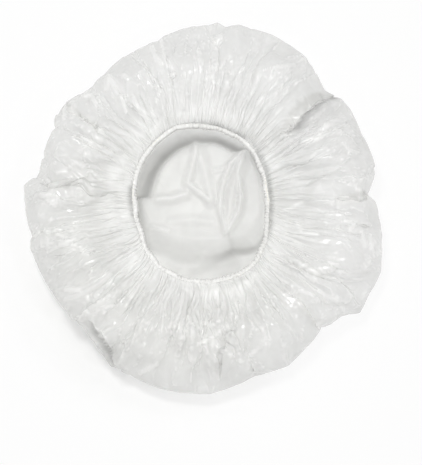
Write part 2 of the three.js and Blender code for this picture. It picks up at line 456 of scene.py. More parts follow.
def cut_disc():
    """Points of the flat disc on rings, closer together towards the hem, and the triangles between them."""
    points = [(0.0, 0.0)]
    reach, turn = 0.0, 0.0
    while reach < HEM_CUT:
        reach += np.interp(reach, RINGS_AT, RING_STEP)
        if reach > HEM_CUT - LEAST_RING_STEP:
            reach = HEM_CUT
        count = int(round(TURN * reach / np.interp(reach, RINGS_AT, POINT_STEP)))
        turn = 0.5 - turn
        angle = (np.arange(count) + turn) * TURN / count
        points += list(zip(reach * np.cos(angle), reach * np.sin(angle)))
    found = delaunay_2d_cdt([Vector(p) for p in points], [], [], 0, 1e-7)
    return np.array([tuple(v) for v in found[0]]), [tuple(f) for f in found[2]]


def profile(cut, angle):
    """The gathered film without its folds: radius, height and the outward normal of its section."""
    low = np.clip((cut - CONTACT_CUT) / (RIM_CUT - CONTACT_CUT), 0, 1)
    high = np.clip((cut - RIM_CUT) / (CREST_CUT - RIM_CUT), 0, 1)
    skirt = np.clip((cut - CREST_CUT) / (HEM_CUT - CREST_CUT), 0, 1)
    contact, crest = RIM_RADIUS - CONTACT_INSET, RIM_RADIUS - CREST_INSET
    upper = cut > RIM_CUT
    radius = np.where(cut < CONTACT_CUT, cut * contact / CONTACT_CUT, contact + CONTACT_INSET * ease_in(low))
    radius = np.where(upper, RIM_RADIUS - CREST_INSET * ease_out(high), radius)
    height = np.where(upper, RIM_Z + (CREST_Z - RIM_Z) * ease_in(high), RIM_Z * ease_out(low))
    hem = opening_outline(angle) + FILM_EDGE
    radius = np.where(skirt > 0, crest + (hem - crest) * skirt, radius)
    height = np.where(skirt > 0, CREST_Z + (HEM_Z + FILM_LIFT - CREST_Z) * skirt ** SKIRT_BEND, height)
    share = ramp(cut, LOBES_FROM, RIM_CUT) * (1 - ramp(cut, RIM_CUT, HEM_CUT))
    radius = radius + (rim_outline(angle) - RIM_RADIUS) * share
    out = np.where(upper, np.cos(high * np.pi / 2), np.sin(low * np.pi / 2))
    up = np.where(upper, np.sin(high * np.pi / 2), -np.cos(low * np.pi / 2))
    return radius, height, out, up


def billows(cut, angle, radius):
    """How far the billows between the valleys stand off the profile."""
    at = polar(np.array([photo_point(pixel, RIM_Z) for pixel, _ in VALLEYS]))[1]
    order = np.argsort(at)
    at, depth = at[order], np.array([d for _, d in VALLEYS])[order]
    at = np.concatenate([at[-1:] - TURN, at, at[:1] + TURN])
    depth = np.concatenate([depth[-1:], depth, depth[:1]])
    turn = np.mod(angle, TURN)
    after = np.clip(np.searchsorted(at, turn), 1, len(at) - 1)
    gap = at[after] - at[after - 1]
    share = (turn - at[after - 1]) / gap
    billow = BILLOW_HEIGHT * gap * radius
    billow *= np.sin(np.pi * np.clip(share, 0, 1)) ** BILLOW_BLUNTNESS - BILLOW_BELOW
    for side in (after - 1, after):
        off = np.abs(turn - at[side]) * radius
        billow -= depth[side] * np.clip(1 - off / VALLEY_WIDTH, 0, 1)
    shown = smooth((cut - RIM_CUT) / BILLOW_RISE)
    return billow * shown * (1 - smooth((cut - BILLOW_FADE_FROM) / BILLOW_FADE))


def fold_shift(cut, angle, radius):
    """How far the folds stand off the profile: billows behind the rim, then finer and finer gathers."""
    shift = billows(cut, angle, radius)
    spare = np.sqrt((1 + np.interp(cut, SPARE_AT, SPARE)) ** 2 - 1)
    reach = cut + wander(FOLD_REACH_TURNS, FOLD_REACH)(angle)
    shares = [ramp(reach, a, b) * (1 - ramp(cut, c, d)) for _, a, b, c, d in FOLD_LEVELS]
    total = np.maximum(sum(shares), 1)
    for (count, *_), share in zip(FOLD_LEVELS, shares):
        phase = count * angle + wander(count // 2, FOLD_SWAY)(angle)
        phase += wander(count // 2, FOLD_DRIFT)(angle) * (cut - RIM_CUT) / DRIFT_LENGTH
        height = np.clip(1 + FOLD_UNEVENNESS * wander(count // 2, 1.0)(angle), *FOLD_HEIGHTS)
        size = TURN * radius / count / 4 * np.sqrt(share / total) * spare
        crest = FOLD_PEAK * (1 - np.abs(np.sin(phase / 2)) ** FOLD_SHARPNESS)
        shift += size * height * (crest - FOLD_BELOW)
    return shift * (1 - FOLDS_EASED * smooth((cut - HEM_CUT + EASED_FROM_HEM) / EASED_OVER))


def shaped(flat, folded):
    """The film round the opening: with its folds, or drawn out smooth to its own girth."""
    cut, angle = np.hypot(*flat.T), np.arctan2(flat[:, 1], flat[:, 0])
    radius, height, out, up = profile(cut, angle)
    if folded:
        shift = fold_shift(cut, angle, radius)
        radius = radius + shift * out
        height = height + shift * up
    share = ramp(cut, RIM_CUT, HEM_CUT)
    places = np.column_stack([radius * np.cos(angle), radius * np.sin(angle)]) + HEM_MIDDLE * share[:, None]
    if not folded:
        places = places * (1 + np.interp(cut, SPARE_AT, SPARE))[:, None]
        height = height + np.where(cut > RIM_CUT, own_height(cut) - profile(cut, 0)[1], 0)
    return np.column_stack([places, height])


def own_height(cut):
    """Height of the film drawn out to its own girth, so that its way from rim to hem keeps its length."""
    way = np.linspace(RIM_CUT, HEM_CUT, 400)
    radius, height = profile(way, 0)[:2]
    girth = radius * (1 + np.interp(way, SPARE_AT, SPARE))
    step = LENGTH_SPARE * np.hypot(np.diff(radius), np.diff(height))
    rise = np.sqrt(np.maximum(step ** 2 - np.diff(girth) ** 2, 0))
    return np.interp(cut, way, RIM_Z + np.concatenate([[0], np.cumsum(rise)]))


def relax(points, flat, triangles):
    """Lets the film fall into its own folds as a cloth, held at the hem and less firmly at the rim.

    The form in which it is slack is the same profile drawn out to the film's own girth."""
    cut = np.hypot(*flat.T)
    obj = new_object("film_sheet", points, triangles)
    obj.shape_key_add(name="start")
    rest = obj.shape_key_add(name="own_girth")
    rest.data.foreach_set("co", shaped(flat, folded=False).ravel())
    rest.value = 0
    held = obj.vertex_groups.new(name="held")
    for places, firmness in ((np.abs(cut - RIM_CUT) < RIM_STRIP, RIM_HOLD), (cut > ON_HEM, 1.0)):
        held.add(np.nonzero(places)[0].tolist(), firmness, "REPLACE")
    weld = obj.modifiers.new("weld", "WELD")
    weld.merge_threshold = 1e-9
    cloth = obj.modifiers.new("cloth", "CLOTH")
    film = cloth.settings
    for name, value in CLOTH.items():
        setattr(film, name, value)
    film.rest_shape_key = rest
    film.effector_weights.gravity = 0.25
    cloth.collision_settings.distance_min = TABLE_GAP
    cloth.collision_settings.use_self_collision = False
    cloth.point_cache.frame_end = FRAMES
    table = new_square("table", 1)
    table.modifiers.new("collision", "COLLISION")
    table.collision.thickness_outer = 0.0005
    table.collision.cloth_friction = 2
    scene = bpy.context.scene
    for step in range(1, FRAMES + 1):
        scene.frame_set(step)
    points = np.empty(len(flat) * 3)
    obj.evaluated_get(bpy.context.evaluated_depsgraph_get()).data.vertices.foreach_get("co", points)
    scene.frame_set(1)
    for used in (table, obj):
        bpy.data.objects.remove(used)
    return points.reshape(-1, 3)


def face_normals(points, faces):
    a, b, c = (points[faces[:, k]] for k in range(3))
    normal = np.cross(b - a, c - a)
    return normal / np.maximum(np.linalg.norm(normal, axis=1, keepdims=True), 1e-12)


def summed(at, vectors, count):
    """The sum of the vectors that fall to each of so many points."""
    return np.column_stack([np.bincount(at, vectors[:, k], count) for k in range(3)])


def point_normals(points, faces):
    normal = np.repeat(face_normals(points, faces), 3, axis=0)
    total = summed(faces.ravel(), normal, len(points))
    return total / np.maximum(np.linalg.norm(total, axis=1, keepdims=True), 1e-12)


def edges_of(faces):
    """Each edge once, the edge numbers of each face, and the faces on either side of each edge."""
    pairs = np.sort(np.concatenate([faces[:, [0, 1]], faces[:, [1, 2]], faces[:, [2, 0]]]), axis=1)
    edges, number = np.unique(pairs, axis=0, return_inverse=True)
    number = number.reshape(3, -1).T
    owner = np.tile(np.arange(len(faces)), 3)
    order = np.argsort(number.T.ravel(), kind="stable")
    owners = owner[order]
    first = np.searchsorted(number.T.ravel()[order], np.arange(len(edges)))
    last = np.append(first[1:], len(owners)) - 1
    return edges, number, np.column_stack([owners[first], owners[last]])


def crisp(points, faces, held):
    """Draws the film into flat facets with sharp creases, as stiff film has: like normals gather together."""
    _, number, sides = edges_of(faces)
    neighbours = sides[number].sum(axis=2) - np.arange(len(faces))[:, None]
    count = np.bincount(faces.ravel(), minlength=len(points))[:, None]
    for _ in range(CRISP_ROUNDS):
        normal = face_normals(points, faces)
        for _ in range(2):
            other = normal[neighbours]
            weight = np.exp(-((other - normal[:, None]) ** 2).sum(axis=2) / (2 * CRISP_LIKENESS ** 2))
            normal = normal + (other * weight[..., None]).sum(axis=1)
            normal /= np.linalg.norm(normal, axis=1, keepdims=True)
        middle = points[faces].mean(axis=1)
        reach = ((middle[:, None] - points[faces]) * normal[:, None]).sum(axis=2)
        move = (reach[..., None] * normal[:, None]).reshape(-1, 3)
        total = summed(faces.ravel(), move, len(points))
        points = points + np.where(held[:, None], 0, total / count)
    return points


def refine(points, flat, faces):
    """Splits each face in four, with the new points on the curve between their neighbours."""
    edges, number, _ = edges_of(faces)
    normal = point_normals(points, faces)
    a, b = edges.T
    span = points[b] - points[a]
    lean_a = (span * normal[a]).sum(axis=1, keepdims=True) * normal[a]
    lean_b = (span * normal[b]).sum(axis=1, keepdims=True) * normal[b]
    middle = (points[a] + points[b]) / 2 + (lean_b - lean_a) / 8
    p, q, r = faces.T
    pq, qr, rp = number.T + len(points)
    corners = ((p, pq, rp), (pq, q, qr), (rp, qr, r), (pq, qr, rp))
    split = np.concatenate([np.column_stack(corner) for corner in corners])
    return np.concatenate([points, middle]), np.concatenate([flat, (flat[a] + flat[b]) / 2]), split


def seen_side(cut):
    """Which way the side that shows faces: against the disc's normals above the rim, with them below."""
    return np.where(cut > RIM_CUT, -1, 1)[:, None]


def settled(points, cut):
    """Lets the crown down until it lies on the table."""
    crown = cut < CONTACT_CUT
    float_height = np.percentile(points[crown, 2], TOUCHING_PERCENT) - TABLE_GAP
    points = points.copy()
    points[:, 2] -= float_height * (1 - smooth((cut - CONTACT_CUT) / SETTLED_FADE))
    points[:, 2] = np.maximum(points[:, 2], TABLE_GAP)
    return points


def open_valleys(points, faces, cut, start, rounds):
    """Rounds the furrows that show, from that distance on the cut disc, and leaves the ridges sharp."""
    one, other = edges_of(faces)[0].T
    count = np.bincount(np.append(one, other), minlength=len(points))[:, None]
    share = 0.5 * smooth((cut - start) / FURROW_FADE) * (cut < ON_HEM)
    for _ in range(rounds):
        normal = point_normals(points, faces) * seen_side(cut)
        total = summed(one, points[other], len(points)) + summed(other, points[one], len(points))
        lift = np.maximum(((total / count - points) * normal).sum(axis=1), 0)
        points = points + (share * lift)[:, None] * normal
    return points


def relaxed_film():
    """The gathered film before its details: points, their places on the cut disc, and faces."""
    flat, triangles = cut_disc()
    faces = np.array(triangles)
    points = shaped(flat, folded=True)
    points = relax(points, flat, triangles)
    cut = np.hypot(*flat.T)
    points = settled(points, cut)
    points = crisp(points, faces, cut > HEM_CUT - CRISP_TO_HEM)
    points = open_valleys(points, faces, cut, FURROWS_FROM, rounds=3)
    points, flat, faces = refine(points, flat, faces)
    cut = np.hypot(*flat.T)
    points = open_valleys(points, faces, cut, FURROWS_FROM, rounds=8)
    points = open_valleys(points, faces, cut, HEM_FURROWS_FROM, rounds=30)
    return points, flat, faces


# The film's details

def crease_share(places, ends, half_width):
    """1 on the line between two points, falling to 0 at half_width to either side and past its ends."""
    start, end = ends
    along = end - start
    length = np.hypot(*along)
    t = np.clip((places - start) @ along / length ** 2, 0, 1)
    off = np.hypot(*(places - start - t[:, None] * along).T)
    return np.clip(1 - off / half_width, 0, 1)


def stretches(ways, height):
    """Each straight stretch of the ways, given in pixels, at that height: the way's sizes and two ends."""
    for pixels, *sizes in ways:
        for one, other in zip(pixels, pixels[1:]):
            yield sizes, (photo_point(one, height), photo_point(other, height))


def crown_folds(places):
    """Height of the crown's ridges and straight random creases, and the painted highlight on the ridges."""
    height, pale = np.zeros((2, len(places)))
    for (rise, half_width, highlight_strength), ends in stretches(RIDGES, PLATEAU_HEIGHT):
        height = np.maximum(height, rise * smooth(crease_share(places, ends, half_width)))
        pale = np.maximum(pale, highlight_strength * crease_share(places, ends, RIDGE_HIGHLIGHT_HALF_WIDTH))
    draw = np.random.default_rng(SEED + 1)
    for _ in range(CROWN_CREASES):
        turn, offset = draw.uniform(0, np.pi), draw.uniform(-0.09, 0.09)
        half_width, rise = draw.uniform(0.004, 0.014), draw.uniform(0.0004, 0.0018)
        shift, length = draw.uniform(-0.06, 0.06), draw.uniform(0.015, 0.04)
        across = places @ heading(turn) - offset
        along = places @ heading(turn + np.pi / 2) - shift
        fade = np.clip(1.6 - np.abs(along) / length, 0, 1)
        height += rise * fade * np.clip(1 - np.abs(across) / half_width, 0, 1)
    return height, pale


def plateau(places):
    """Height of the crown's raised middle, the painted shade of the gap round it and the share that lies in
    the opening.
    """
    reach, turn = polar(places - HEM_MIDDLE)
    inside = closed_outline(PLATEAU_PX, PLATEAU_HEIGHT, HEM_MIDDLE)(turn) - reach
    near = smooth(0.2 - 1.4 * np.sin(turn))
    near_left = near * smooth(0.6 - 1.2 * np.cos(turn))
    height = PLATEAU_HEIGHT * smooth(inside / (PLATEAU_EDGE * (1 + PLATEAU_NEAR_EDGE * near)) + 0.5)
    gap = smooth(0.2 - inside / PLATEAU_EDGE) * (1 - GAP_LOSS * ramp(-inside, *GAP_PALER))
    in_opening = 1 - ramp(reach - opening_outline(turn), *OPENING_FADE)
    return height, gap * (1 - GAP_LOSS * near_left) * in_opening, in_opening


def seen_places(points):
    """Where the camera sees each point, on the level of the rim."""
    way = points - EYE
    return (EYE + way * ((RIM_Z - EYE[2]) / way[:, 2])[:, None])[:, :2]


def tucked(points, cut):
    """The film with its tucks, how far each point is bunched in one and how much shade is painted there.

    The lap's edge moves over the furrow beside it, and the painted shade begins where the lap ends."""
    upper = ramp(cut, RIM_CUT - RIM_BLEND, RIM_CUT + RIM_BLEND)
    bunched, shade = np.zeros((2, len(points)))
    for one, other, reach, depth, half_width, dark, bow in TUCKS:
        start, end = photo_point(one, RIM_Z), photo_point(other, RIM_Z)
        length = np.hypot(*(end - start))
        way = (end - start) / length
        right = np.array([way[1], -way[0]])
        offset = seen_places(points) - start
        along = offset @ way / length
        side = (offset @ right + 4 * bow * along * (1 - along)) / half_width
        to_ends = np.minimum(along / TUCK_FADE_IN, (1 + TUCK_FADE_OUT - along) / TUCK_FADE_OUT)
        reached = upper * smooth(to_ends)
        share = reached * (1 - smooth((np.abs(side) - 1) / TUCK_SPREAD))
        swing = np.sin(np.clip(side, -1, 1) * np.pi / 2)
        points = points.copy()
        points[:, :2] -= ((reach + half_width) * share * swing)[:, None] * right
        points[:, 2] -= share * np.where(swing > 0, depth, LAP_RISE * depth) * swing
        bunched = np.maximum(bunched, share * np.clip(side, 0, 1))
        # Painted shade on the furrow beyond the lap's edge.
        lap_edge = (reach + half_width) * reached - half_width
        beyond = side * half_width - (reach + half_width) * share * swing - lap_edge
        beside = smooth(beyond / TUCK_SHADE_EDGE + 1) * (1 - smooth(beyond / TUCK_SHADE_WIDTH))
        shade = np.maximum(shade, dark * reached * beside * (side > 0))
    return points, bunched, shade


def pinches(flat):
    """Height of the short creases scattered over the film and of the long ones that run out from the hem."""
    draw = np.random.default_rng(SEED + 2)
    height = np.zeros(len(flat))
    cut, angle = np.hypot(*flat.T), np.arctan2(flat[:, 1], flat[:, 0])
    for _ in range(PINCHES):
        reach, turn = draw.uniform(0.160, 0.222), draw.uniform(0, TURN)
        lean = turn + draw.normal(0, 0.8)
        half, middle = draw.uniform(0.005, 0.020) * heading(lean), reach * heading(turn)
        half_width = draw.uniform(0.0018, 0.0042)
        slope = draw.uniform(0.08, 0.26) * draw.choice([-1, 1], p=[0.2, 0.8])
        share = crease_share(flat, (middle - half, middle + half), half_width)
        height += slope * half_width * smooth(share)
    for _ in range(RAYS):
        turn, bend = draw.uniform(-np.pi, np.pi), draw.normal(0, 0.5)
        outer, inner = draw.uniform(0.180, 0.215), draw.uniform(0.215, 0.240)
        rise, half_width = draw.uniform(0.0003, 0.0008), draw.uniform(0.0016, 0.0026)
        middle = turn + bend * (cut - inner)
        off = np.abs(np.mod(angle - middle + np.pi, TURN) - np.pi) * cut
        fade = smooth((cut - outer) / RAY_FADE) * (1 - smooth((cut - inner) / RAY_FADE))
        height += rise * fade * np.clip(1 - off / half_width, 0, 1)
    return height


def plies(flat):
    """Height where the film lies over itself: a step along a straight line, sloping off behind it."""
    draw = np.random.default_rng(SEED + 4)
    height = np.zeros(len(flat))
    for _ in range(PLIES):
        reach, turn = draw.uniform(0.160, 0.212), draw.uniform(0, TURN)
        lean = turn + draw.normal(0, 0.55)
        offset = flat - reach * heading(turn)
        behind = offset @ heading(lean + np.pi / 2) * draw.choice([-1, 1])
        half_length, width = draw.uniform(0.010, 0.026), draw.uniform(0.008, 0.016)
        rise = draw.uniform(0.0010, 0.0026)
        slope = np.clip(1 - behind / width, 0, 1) * np.clip(1 + behind / STEP_WIDTH, 0, 1)
        within = smooth((half_length - np.abs(offset @ heading(lean))) / PLY_END)
        height = np.maximum(height, rise * slope * within)
    return height


def crumple(flat):
    """Height of the film's crumpling: flat facets between straight creases that run from corner to corner."""
    draw = np.random.default_rng(SEED + 3)
    height = np.zeros(len(flat))
    for spacing, size in CRUMPLES:
        line = np.arange(-HEM_CUT - 2 * spacing, HEM_CUT + 2 * spacing, spacing)
        corners = np.stack(np.meshgrid(line, line), axis=-1).reshape(-1, 2)
        corners = corners + draw.uniform(-0.45, 0.45, corners.shape) * spacing
        found = delaunay_2d_cdt([Vector(c) for c in corners], [], [], 0, 1e-9)
        tops = draw.uniform(-size, size, len(found[0]))
        facets = BVHTree.FromPolygons([(*v, top) for v, top in zip(found[0], tops)], found[2])
        height += [facets.ray_cast((x, y, 1), (0, 0, -1))[0].z for x, y in flat]
    cut = np.hypot(*flat.T)
    full = ramp(cut, *CRUMPLE_IN) * (1 - ramp(cut, *CRUMPLE_OUT))
    return height * np.maximum(full, CROWN_CRUMPLE * (cut < RIM_CUT))


def shining_folds(points, cut):
    """Height and painted highlight of the skirt's sharp folds, each where the camera sees it."""
    places = seen_places(points)
    height, pale = np.zeros((2, len(points)))
    for (half_width, highlight_strength), ends in stretches(SHINING_FOLDS, RIM_Z):
        share = crease_share(places, ends, half_width)
        height = np.maximum(height, FOLD_SLOPE * half_width * smooth(share))
        pale = np.maximum(pale, highlight_strength * np.minimum(FOLD_HIGHLIGHT_TOP * share, 1))
    upper = ramp(cut, RIM_CUT, RIM_CUT + RIM_BLEND)
    return height * upper, pale * upper


def within_rim(points):
    """Brings the film's edge, as the camera sees it, out or in to the rim of the photograph."""
    reach, angle = polar(seen_places(points))
    edge = np.zeros(RIM_STEPS)
    np.maximum.at(edge, (angle / TURN * RIM_STEPS).astype(int) % RIM_STEPS, reach)
    edge = (np.roll(edge, 1) + 2 * edge + np.roll(edge, -1)) / 4
    middles = (np.arange(RIM_STEPS) + 0.5) * TURN / RIM_STEPS
    edge = np.interp(angle, middles, edge, period=TURN)
    near = ramp(reach / edge, *RIM_MOVED)
    move = (rim_outline(angle) - edge) * near
    move -= np.maximum(reach + move - rim_outline(angle), 0)
    return points + np.column_stack([np.cos(angle), np.sin(angle), np.zeros(len(angle))]) * move[:, None]


def over_casing(points, cut):
    """Lifts the inner ends of the gathers over the hem's casing, with their edge bent down to it."""
    lift = np.where(cut < ON_HEM, CASING_LAP, EDGE_LAP) * ramp(cut, *OVER_CASING)
    return points + lift[:, None] * np.array([0, 0, 1])


def crease_strength(points, faces, cut):
    """How sharply the film is bent at each point, from 0 to 1: ridges count in full and furrows in part."""
    edges = edges_of(faces)[0]
    one, other = np.concatenate([edges, edges[:, ::-1]]).T
    count = np.bincount(one, minlength=len(points))
    span = points[other] - points[one]
    step = np.bincount(one, np.linalg.norm(span, axis=1), len(points)) / count
    mean = summed(one, span, len(points)) / count[:, None]
    bend = -(mean * point_normals(points, faces) * seen_side(cut)).sum(axis=1) / step
    strength = np.maximum(ramp(bend, *RIDGE_BEND), FURROW_SHARE * ramp(-bend, *FURROW_BEND))
    return strength * smooth((cut - RIM_CUT) / BEND_FADE)


def most(*values):
    return np.maximum.reduce(values)


def put_values(obj, name, values):
    """Gives the object's points values, or vectors, that its material reads by that name."""
    kind, field = ("FLOAT_VECTOR", "vector") if np.ndim(values) == 2 else ("FLOAT", "value")
    made = obj.data.attributes.new(name, kind, "POINT")
    made.data.foreach_set(field, np.ravel(values))


def make_film():
    points, flat, faces = relaxed_film()
    cut = np.hypot(*flat.T)

    def raised(height):
        return points + point_normals(points, faces) * seen_side(cut) * height[:, None]

    points, bunched, shade = tucked(points, cut)
    points = raised(pinches(flat) + crumple(flat) + plies(flat))
    folds, pale = crown_folds(points[:, :2])
    raised_middle, gap, in_opening = plateau(points[:, :2])
    on_crown = 1 - ramp(cut, *CROWN_FADE)
    points[:, 2] += (folds + raised_middle) * on_crown
    points = within_rim(points)
    fold, shine = shining_folds(points, cut)
    points = over_casing(raised(fold), cut)

    # Painted light: a highlight on sharp ridges, the crown's ridges and the shining folds, and lightening
    # against the shade of the furrows, in full by the hem.
    bent = BEND_PAINTED_LIGHT * crease_strength(points, faces, cut)
    painted_light = most(bent, pale * on_crown, shine, HEM_PAINTED_LIGHT * ramp(cut, *HEM_LIGHT_SPAN))
    layers = most(ramp(cut, GATHERED_FROM, GATHERED_FULL), bunched, gap, PAINTED_LIGHT_MILKY * painted_light)
    # Painted shade in the tucks and in the gap round the plateau.
    painted_hollow_shade = most(shade, GAP_SHADE * gap)
    dull_crown = CROWN_DULL * (cut < RIM_CUT - CROWN_DULL_TO_RIM)
    # Painted shade on the crown in the opening, more on its side near the camera, and on the gathers.
    near = smooth((HEM_MIDDLE[1] - points[:, 1]) / NEAR_LENGTH)
    crown = (CROWN_SHADE + NEAR_SHADE * near) * in_opening * (cut < CONTACT_CUT)
    gathers = GATHER_SHADE * smooth((cut - GATHERED_FROM) / GATHER_SHADE_LENGTH)
    film = new_object("gathered_film", points, faces.tolist())
    put_values(film, "cut_place", np.column_stack([flat, np.zeros(len(flat))]))
    put_values(film, "gathered", layers)
    put_values(film, "painted_light", np.clip(painted_light, 0, 1))
    put_values(film, "dull", most(SHADE_DULL * painted_hollow_shade, dull_crown, GATHER_DULL * ramp(cut, *GATHER_DULL_AT)))
    put_values(film, "painted_shade", most(painted_hollow_shade, crown, gathers))
    return film


# The hem

def ring_mesh(name, points):
    """A closed tube: points is columns by section by 3."""
    columns, section, _ = points.shape
    number = np.arange(columns * section).reshape(columns, section)
    ahead, beside = np.roll(number, -1, axis=0), np.roll(number, -1, axis=1)
    corner = np.roll(ahead, -1, axis=1)
    faces = np.stack([number, beside, corner, ahead], axis=-1).reshape(-1, 4)
    return new_object(name, points.reshape(-1, 3), faces.tolist())


def hem_point(angle, outward, height):
    """A point of the hem: outward from the opening's edge and up from the hem's middle."""
    radius = opening_outline(angle) + outward
    x, y = HEM_MIDDLE[0] + radius * np.cos(angle), HEM_MIDDLE[1] + radius * np.sin(angle)
    return np.stack(np.broadcast_arrays(x, y, HEM_Z + height), axis=-1)


def beads(angle, count):
    """Rounded puckers with sharp valleys between, from 0 to 1, deep at the right and fainter elsewhere."""
    phase = count / 2 * angle + wander(count // 3, BEAD_WANDER)(angle)
    depth = BEAD_SHARE + BEAD_SWING * np.cos(angle + BEAD_DEEP_AT)
    depth = np.clip(depth + BEAD_UNEVENNESS * wander(30, 1.0)(angle), LEAST_BEAD, 1)
    return 1 - depth * (1 - np.abs(np.sin(phase)) ** BEAD_ROUNDNESS)


def squared(wave):
    """The wave of a section that is blunter than a circle."""
    return np.sign(wave) * np.abs(wave) ** CASING_SQUARENESS


def make_casing():
    """The puckered channel: beads of their own on its inner and outer side, and a groove along its top."""
    angle = full_turn(GATHERS * 9)[:, None]
    turn = full_turn(24)
    inner, outer = beads(angle, PUCKERS), beads(angle, PUCKERS)
    share = smooth(np.cos(turn) + 0.5)
    swell = BEAD_DEPTH * ((1 - share) * inner + share * outer - BEAD_MIDDLE)
    across = squared(np.cos(turn))
    groove = GROOVE_DEPTH * np.exp(-(across / GROOVE_WIDTH) ** 2) * np.clip(np.sin(turn), 0, 1)
    outward = CASING_WIDTH / 2 + across * (CASING_WIDTH / 2 - BEAD_DEPTH / 2) + swell * np.cos(turn)
    height = squared(np.sin(turn)) * CASING_HALF_HEIGHT - groove + swell * np.sin(turn)
    height = height + wander(9, CASING_SWAY)(angle)
    return ring_mesh("hem_band", hem_point(angle, outward + wander(22, CASING_WANDER)(angle), height))


def make_seal():
    """The welded line at the outer side of the casing, crimped along its length."""
    angle = full_turn(720)[:, None]
    turn = full_turn(8)
    half_height = (SEAL_HIGH[2] - SEAL_LOW[2]) / 4
    crimp = 0.8 + 0.2 * np.cos(SEAL_CRIMPS * angle)
    outward = CASING_WIDTH - SEAL_INSET + SEAL_HALF_WIDTH * np.cos(turn)
    return ring_mesh("seal_line", hem_point(angle, outward, half_height * crimp * np.sin(turn)))


def make_elastic():
    """The ribbed strand inside the casing."""
    angle = full_turn(960)[:, None]
    turn = full_turn(32)
    ribs = 1 + RIB_DEPTH * np.cos(ELASTIC_RIBS * turn) * np.ones_like(angle)
    outward = ELASTIC_INSET + ELASTIC_HALF_WIDTH * np.cos(turn) * ribs
    return ring_mesh("elastic_strand", hem_point(angle, outward, ELASTIC_HALF_HEIGHT * np.sin(turn) * ribs))


# Nodes

def fill(tree, node, inputs):
    """Gives each of those inputs of the node its value, or the socket that feeds it."""
    for name, value in dict(inputs).items():
        if isinstance(value, bpy.types.NodeSocket):
            tree.links.new(value, node.inputs[name])
        else:
            node.inputs[name].default_value = value


def add_node(tree, kind, inputs=(), **settings):
    node = tree.nodes.new(kind)
    for name, value in settings.items():
        setattr(node, name, value)
    fill(tree, node, inputs)
    return node


def math_node(tree, operation, one, other):
    return add_node(tree, "ShaderNodeMath", {0: one, 1: other}, operation=operation).outputs["Value"]


def attribute(tree, name, output="Fac"):
    return add_node(tree, "ShaderNodeAttribute", attribute_name=name).outputs[output]


def noise(tree, place, scale, detail=2, output="Fac"):
    inputs = {"Vector": place, "Scale": scale, "Detail": detail}
    return add_node(tree, "ShaderNodeTexNoise", inputs).outputs[output]


def map_range(tree, value, given, wanted, kind="LINEAR"):
    """Turns the given range of the value into the wanted one."""
    inputs = {"Value": value, "From Min": given[0], "From Max": given[1]}
    inputs.update({"To Min": wanted[0], "To Max": wanted[1]})
    return add_node(tree, "ShaderNodeMapRange", inputs, interpolation_type=kind).outputs["Result"]


def mix_shaders(tree, share, one, other):
    return add_node(tree, "ShaderNodeMixShader", {"Fac": share, 1: one, 2: other}).outputs["Shader"]


def fill_shader(made, inputs):
    """Fills those inputs of the material's Principled shader."""
    fill(made.node_tree, made.node_tree.nodes["Principled BSDF"], inputs)


def feeds(made, name):
    """The socket that feeds that input of the material's Principled shader."""
    return made.node_tree.nodes["Principled BSDF"].inputs[name].links[0].from_socket


def new_material(name):
    made = bpy.data.materials.new(name)
    made.use_nodes = True
    return made


# Materials

NOISE_RANGE = (0.3, 0.7)
FINE_RELIEF = 0.0001
# Creases of the film's material, in two sizes: scale on the cut disc, half width as a share of the scale,
# height in metres and the share of them that is left out, with the softness of the places left out.
FILM_CREASES = [(32, 0.028, 0.0003, 0.52), (60, 0.045, 0.0002, 0.55)]
CREASE_STRAY_SCALE = 0.6
CREASE_LEFT_OUT_SCALE = 0.45
CREASE_LEFT_OUT_EDGE = 0.12
# Painted highlight along the material's creases on the skirt, and the length from the rim over which it fades
# in.
CREASE_PAINTED_HIGHLIGHT = 0.3
CREASE_HIGHLIGHT_FADE_IN = 0.01
# The colours that painted light and painted shade turn the film towards.
PAINTED_LIGHT_COLOUR = (0.99, 0.99, 0.98, 1)
PAINTED_SHADE_COLOUR = (0.20, 0.20, 0.19, 1)
# Shares of light that the film scatters and lets straight through, where it is single and where gathered.
FILM_SCATTERED = (0.55, 0.38)
FILM_STRAIGHT = (0.55, 0.18)
FILM_SPECULAR = 1.0
FILM_IOR = 1.6
HEM_SCATTERED = 0.2
HEM_STRAIGHT = 0.02


def plastic(name, dark, pale, clouds, gloss, gloss_grain, relief_grain):
    """A material with clouds from dark to pale, uneven gloss and fine crinkles, each by its noise's scale."""
    made = new_material(name)
    tree = made.node_tree
    place = add_node(tree, "ShaderNodeTexCoord").outputs["Object"]
    tint = add_node(tree, "ShaderNodeValToRGB", {"Fac": noise(tree, place, clouds, 3)})
    for stop, colour, at in zip(tint.color_ramp.elements, (dark, pale), NOISE_RANGE):
        stop.color = (*colour, 1)
        stop.position = at
    rough = map_range(tree, noise(tree, place, gloss_grain, 2), NOISE_RANGE, gloss)
    crinkles = {"Strength": 1, "Distance": FINE_RELIEF, "Height": noise(tree, place, relief_grain, 4)}
    bump = add_node(tree, "ShaderNodeBump", crinkles)
    normal = bump.outputs["Normal"]
    fill_shader(made, {"Base Color": tint.outputs["Color"], "Roughness": rough, "Normal": normal})
    return made


